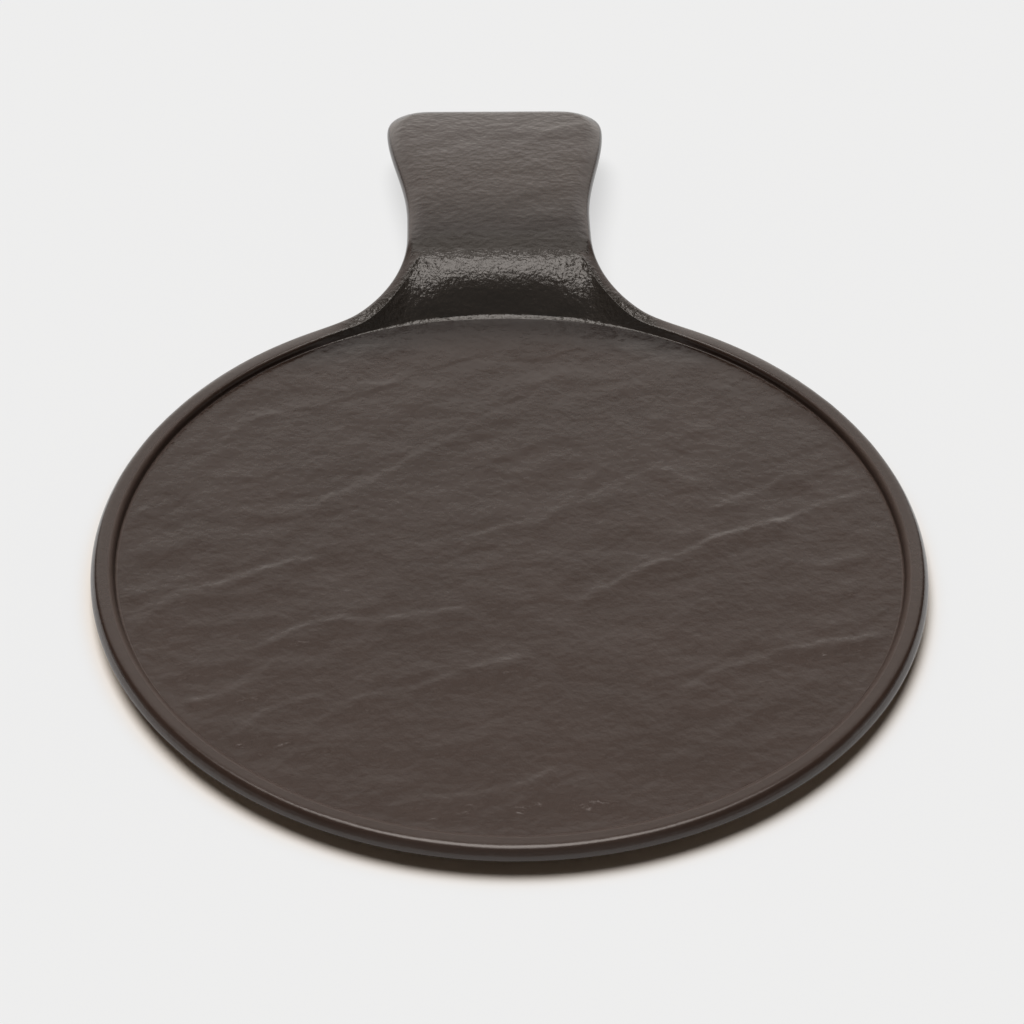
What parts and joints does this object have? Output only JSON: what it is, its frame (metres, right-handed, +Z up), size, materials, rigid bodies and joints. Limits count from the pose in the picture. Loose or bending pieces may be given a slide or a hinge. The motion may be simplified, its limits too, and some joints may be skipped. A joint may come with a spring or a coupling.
{
  "type": "round serving platter",
  "caption": "Round slate-look serving platter with a low raised rim and one wide arched tab handle, standing on small pads in a foot ring.",
  "frame": {"origin": "middle of the overall length and width, on the table under the pads", "axes": "+Y along the handle, away from the disc; +Z up from the table; +X to the right seen from the disc's front, with X = 0 the plane of symmetry"},
  "size_m": [0.3, 0.432, 0.0276],
  "materials": {
    "stoneware": "matte dark brown slate-textured stoneware, satin on the rim and the crest of the handle",
    "silicone": "matte dark silicone rubber",
    "adhesive": "pale translucent film adhesive"
  },
  "bodies": {
    "root": {"platter_body": "stoneware", "foot_pad_front_right": "silicone", "foot_pad_front_left": "silicone", "foot_pad_back_right": "silicone", "foot_pad_back_left": "silicone", "adhesive_disc_front_right": "adhesive", "adhesive_disc_front_left": "adhesive", "adhesive_disc_back_right": "adhesive", "adhesive_disc_back_left": "adhesive"}
  },
  "joints": []
}
